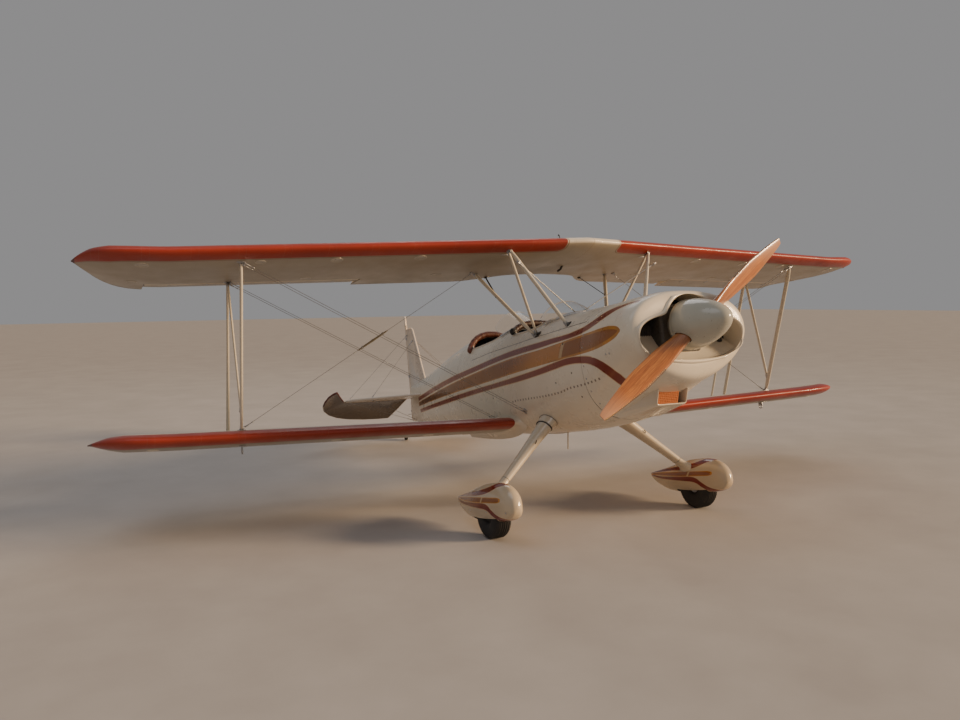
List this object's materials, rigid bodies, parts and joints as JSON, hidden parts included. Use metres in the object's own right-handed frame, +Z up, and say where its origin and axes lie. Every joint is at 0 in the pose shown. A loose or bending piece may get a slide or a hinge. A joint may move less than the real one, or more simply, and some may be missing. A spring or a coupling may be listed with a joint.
{
  "type": "two-seat sport biplane",
  "caption": "Single-engine two-seat open-cockpit biplane on tail-wheel gear, with turning propeller and wheels and moving control surfaces.",
  "frame": {"origin": "centre of the bounding box on the ground the wheels stand on", "axes": "+X across the span to the aeroplane's left, -Y towards its nose, +Z up from level ground, with the airframe in its parked nose-up attitude"},
  "size_m": [7.3, 5.9454, 2.2129],
  "materials": {
    "painted_fabric": "gloss painted fabric",
    "painted_metal": "gloss cream enamel",
    "painted_composite": "gloss cream composite",
    "strut_enamel": "cream enamel on steel tube",
    "wood": "varnished laminated wood",
    "spinner_paint": "satin cream paint",
    "leather": "brown leather",
    "cloth": "padded cloth",
    "tyre": "black rubber",
    "alloy": "satin",
    "steel": "satin stainless",
    "engine": "dark castings",
    "black_panel": "matt black",
    "glass": "clear acrylic"
  },
  "bodies": {
    "airframe": {"fuselage_front": "painted_metal", "fuselage_rear": "painted_fabric", "cockpit_floor": "black_panel", "front_seat": "cloth", "rear_seat": "cloth", "front_panel": "black_panel", "rear_panel": "black_panel", "front_windscreen": "glass", "rear_windscreen": "glass", "front_coaming": "leather", "rear_coaming": "leather", "engine_cowl": "painted_composite", "air_scoop": "painted_composite", "engine_block": "engine", "upper_wing": "painted_fabric", "lower_wing_right": "painted_fabric", "lower_wing_left": "painted_fabric", "interplane_front_right": "strut_enamel", "interplane_rear_right": "strut_enamel", "interplane_diagonal_right": "strut_enamel", "cabane_front_right": "strut_enamel", "cabane_rear_right": "strut_enamel", "cabane_diagonal_right": "strut_enamel", "flying_wires_right": "steel", "landing_wire_right": "steel", "interplane_front_left": "strut_enamel", "interplane_rear_left": "strut_enamel", "interplane_diagonal_left": "strut_enamel", "cabane_front_left": "strut_enamel", "cabane_rear_left": "strut_enamel", "cabane_diagonal_left": "strut_enamel", "flying_wires_left": "steel", "landing_wire_left": "steel", "fin": "painted_fabric", "stabiliser_right": "painted_fabric", "stabiliser_left": "painted_fabric", "gear_leg_right": "painted_composite", "wheel_fairing_right": "painted_composite", "gear_leg_left": "painted_composite", "wheel_fairing_left": "painted_composite", "tailwheel_spring": "steel"},
    "propeller": {"propeller": "wood", "spinner": "spinner_paint"},
    "main_wheel_right": {"main_tyre_right": "tyre", "main_wheel_right": "alloy"},
    "main_wheel_left": {"main_tyre_left": "tyre", "main_wheel_left": "alloy"},
    "rudder": {"rudder": "painted_fabric"},
    "tailwheel_fork": {"tailwheel_fork": "steel"},
    "tailwheel": {"tailwheel": "tyre"},
    "elevator": {"elevator_left": "painted_fabric", "elevator_right": "painted_fabric", "elevator_torque_tube": "steel"},
    "upper_aileron_right": {"upper_aileron_right": "painted_fabric"},
    "lower_aileron_right": {"lower_aileron_right": "painted_fabric"},
    "upper_aileron_left": {"upper_aileron_left": "painted_fabric"},
    "lower_aileron_left": {"lower_aileron_left": "painted_fabric"},
    "slave_strut_right": {"aileron_slave_strut_right": "strut_enamel"},
    "slave_strut_left": {"aileron_slave_strut_left": "strut_enamel"}
  },
  "joints": [
    {"name": "propeller_spin", "type": "hinge", "parent": "airframe", "child": "propeller", "pos_m": [0, -2.6753, 1.56982], "axis": [0, -0.9848, 0.1736], "continuous": true},
    {"name": "main_wheel_right_spin", "type": "hinge", "parent": "airframe", "child": "main_wheel_right", "pos_m": [-0.948, -1.58128, 0.18], "axis": [1, 0, 0], "continuous": true},
    {"name": "main_wheel_left_spin", "type": "hinge", "parent": "airframe", "child": "main_wheel_left", "pos_m": [0.948, -1.58128, 0.18], "axis": [1, 0, 0], "continuous": true},
    {"name": "rudder", "type": "hinge", "parent": "airframe", "child": "rudder", "pos_m": [0, 2.55933, 0.79304], "axis": [0, 0.1736, 0.9848], "range_deg": [-3, 47]},
    {"name": "tailwheel_steering", "type": "hinge", "parent": "airframe", "child": "tailwheel_fork", "pos_m": [0, 2.72372, 0.17], "axis": [0, 0, 1], "range_deg": [-3, 47]},
    {"name": "tailwheel_spin", "type": "hinge", "parent": "tailwheel_fork", "child": "tailwheel", "pos_m": [0.01686, 2.76544, 0.075], "axis": [0.9272, -0.3746, 0], "continuous": true},
    {"name": "elevator", "type": "hinge", "parent": "airframe", "child": "elevator", "pos_m": [0, 2.51801, 0.55865], "axis": [1, 0, 0], "range_deg": [0, 56]},
    {"name": "upper_aileron_right", "type": "hinge", "parent": "airframe", "child": "upper_aileron_right", "pos_m": [-2.365, -0.30296, 1.91488], "axis": [0.9907, -0.1336, 0.0249], "range_deg": [-25.4, 14.6]},
    {"name": "lower_aileron_right", "type": "hinge", "parent": "airframe", "child": "lower_aileron_right", "pos_m": [-2.365, -0.0074, 0.59875], "axis": [0.9996, -0.005, -0.0281], "range_deg": [-25.4, 14.6]},
    {"name": "upper_aileron_left", "type": "hinge", "parent": "airframe", "child": "upper_aileron_left", "pos_m": [2.365, -0.30296, 1.91488], "axis": [0.9907, 0.1336, -0.0249], "range_deg": [-14.6, 25.4]},
    {"name": "lower_aileron_left", "type": "hinge", "parent": "airframe", "child": "lower_aileron_left", "pos_m": [2.365, -0.0074, 0.59875], "axis": [0.9996, 0.005, 0.0281], "range_deg": [-14.6, 25.4]},
    {"name": "slave_strut_right", "type": "hinge", "parent": "upper_aileron_right", "child": "slave_strut_right", "pos_m": [-2.553, -0.17305, 1.85815], "axis": [0.9907, -0.1336, 0.0249], "range_deg": [-14.6, 25.4]},
    {"name": "slave_strut_left", "type": "hinge", "parent": "upper_aileron_left", "child": "slave_strut_left", "pos_m": [2.553, -0.17671, 1.83739], "axis": [0.9907, 0.1336, -0.0249], "range_deg": [-25.4, 14.6]}
  ],
  "couplings": [
    {"joint": "lower_aileron_right", "follows": "upper_aileron_right", "ratio": 1},
    {"joint": "upper_aileron_left", "follows": "upper_aileron_right", "ratio": -1},
    {"joint": "lower_aileron_left", "follows": "upper_aileron_right", "ratio": -1},
    {"joint": "slave_strut_right", "follows": "upper_aileron_right", "ratio": -1},
    {"joint": "slave_strut_left", "follows": "upper_aileron_right", "ratio": 1},
    {"joint": "tailwheel_steering", "follows": "rudder", "ratio": 1}
  ]
}
